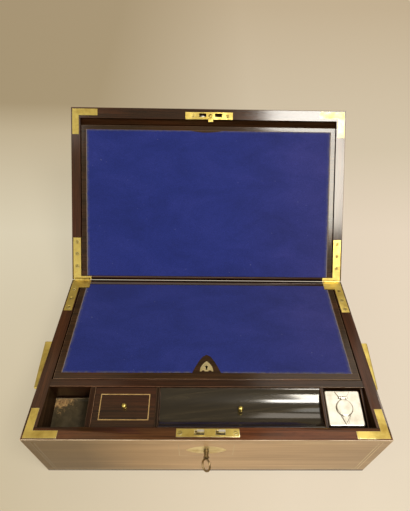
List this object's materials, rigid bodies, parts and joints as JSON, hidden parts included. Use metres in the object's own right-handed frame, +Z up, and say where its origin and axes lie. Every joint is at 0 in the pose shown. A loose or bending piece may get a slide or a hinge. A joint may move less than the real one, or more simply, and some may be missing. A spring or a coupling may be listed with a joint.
{
  "type": "writing slope",
  "caption": "Brass-bound rosewood writing slope that opens to two velvet-covered flaps over paper stores, with a pen tray, inkwell, wells, key lock and folding side handles.",
  "frame": {"origin": "centre of the underside of the base", "axes": "+X to the right seen from the lock side, +Y from the lock to the hinges, +Z up"},
  "size_m": [0.51, 0.5299, 0.2733],
  "materials": {
    "rosewood": "polished",
    "interior_wood": "satin",
    "brass": "worn polish",
    "steel": "bright",
    "velvet": "velvet pile",
    "ebonised": "gloss",
    "boxwood": "satin",
    "glass": "clear",
    "silver_plate": "polished"
  },
  "bodies": {
    "base": {"base_bottom": "rosewood", "base_front_board": "rosewood", "base_back_board": "rosewood", "base_side_right": "rosewood", "base_side_left": "rosewood", "compartment_floor": "interior_wood", "floor_cleats": "interior_wood", "tray_partition": "interior_wood", "compartment_front_lining": "interior_wood", "divider_left_well": "interior_wood", "divider_pen_tray": "interior_wood", "divider_ink_well": "interior_wood", "ink_well_lining": "interior_wood", "cover_ledges": "interior_wood", "tray_bearers": "interior_wood", "base_flap_rests": "interior_wood", "base_flap_rail": "interior_wood", "base_rail_velvet": "velvet", "lock_case": "brass", "lock_face_plate": "brass", "key_escutcheon": "brass", "front_stringing": "boxwood", "base_corner_plates": "brass", "base_hinge_leaves": "brass", "hinge_pins": "brass", "base_screws": "brass", "handle_plates": "brass"},
    "lid": {"lid_top_board": "rosewood", "lid_far_board": "rosewood", "lid_hinge_board": "rosewood", "lid_side_right": "rosewood", "lid_side_left": "rosewood", "lid_corner_plates": "brass", "lid_hinge_leaves": "brass", "lid_screws": "brass", "striker_plate": "brass", "lid_flap_rests": "interior_wood", "lid_flap_rail": "interior_wood", "lid_rail_velvet": "velvet"},
    "base_flap": {"base_flap_board": "rosewood", "base_flap_velvet": "velvet", "flap_escutcheon": "brass", "flap_lock_case": "brass"},
    "flap_latch": {"flap_lock_bolt": "brass"},
    "lid_flap": {"lid_flap_board": "rosewood", "lid_flap_velvet": "velvet"},
    "flap_catch": {"lid_flap_catch": "brass"},
    "key": {"key": "steel"},
    "lock_hooks": {"lock_bolt": "steel"},
    "handle_right": {"handle_bail_right": "brass"},
    "handle_left": {"handle_bail_left": "brass"},
    "cover": {"cover_panel": "interior_wood", "cover_stringing": "boxwood", "cover_knob": "brass"},
    "pen_tray": {"pen_tray": "ebonised", "tray_knob": "brass"},
    "inkwell": {"inkwell_glass": "glass", "inkwell_top": "silver_plate"},
    "inkwell_cap": {"inkwell_cap": "silver_plate"},
    "inkwell_catch": {"inkwell_catch": "silver_plate"}
  },
  "joints": [
    {"name": "lid_hinge", "type": "hinge", "parent": "base", "child": "lid", "pos_m": [0, 0.13843, 0.08162], "axis": [-1, 0, 0], "range_deg": [-125.7, 54.3]},
    {"name": "base_flap_hinge", "type": "hinge", "parent": "base", "child": "base_flap", "pos_m": [0, 0.11976, 0.08489], "axis": [-1, 0, 0], "range_deg": [0, 75]},
    {"name": "flap_latch_slide", "type": "slide", "parent": "base_flap", "child": "flap_latch", "axis": [0, -0.98, 0.1988], "range_m": [0, 0.0045]},
    {"name": "lid_flap_hinge", "type": "hinge", "parent": "lid", "child": "lid_flap", "pos_m": [0, 0.15054, 0.09216], "axis": [1, 0, 0], "range_deg": [0, 65]},
    {"name": "flap_catch_press", "type": "slide", "parent": "lid", "child": "flap_catch", "axis": [0, 0.6798, -0.7334], "range_m": [0, 0.0015], "stiffness_N_per_m": 400, "springref_m": -0.001},
    {"name": "key_turn", "type": "hinge", "parent": "base", "child": "key", "pos_m": [-0.0015, -0.138, 0.099], "axis": [0, -1, 0], "range_deg": [0, 80]},
    {"name": "lock_hooks_slide", "type": "slide", "parent": "base", "child": "lock_hooks", "axis": [-1, 0, 0], "range_m": [0, 0.005]},
    {"name": "handle_right_swing", "type": "hinge", "parent": "base", "child": "handle_right", "pos_m": [0.222, 0, 0.0515], "axis": [0, 1, 0], "range_deg": [0, 90]},
    {"name": "handle_left_swing", "type": "hinge", "parent": "base", "child": "handle_left", "pos_m": [-0.222, 0, 0.0515], "axis": [0, -1, 0], "range_deg": [0, 90]},
    {"name": "cover_lift", "type": "slide", "parent": "base", "child": "cover", "axis": [0, 0, 1], "range_m": [0, 0.06]},
    {"name": "pen_tray_lift", "type": "slide", "parent": "base", "child": "pen_tray", "axis": [0, 0, 1], "range_m": [0, 0.08]},
    {"name": "inkwell_lift", "type": "slide", "parent": "base", "child": "inkwell", "axis": [0, 0, 1], "range_m": [0, 0.09]},
    {"name": "inkwell_cap_hinge", "type": "hinge", "parent": "inkwell", "child": "inkwell_cap", "pos_m": [0.1782, -0.0777, 0.12045], "axis": [-1, 0, 0], "range_deg": [0, 100]},
    {"name": "inkwell_catch_hinge", "type": "hinge", "parent": "inkwell", "child": "inkwell_catch", "pos_m": [0.1782, -0.11285, 0.11985], "axis": [1, 0, 0], "range_deg": [0, 70]}
  ],
  "couplings": [
    {"joint": "key_turn", "follows": "lock_hooks_slide", "rad_per_m": 279.25}
  ]
}
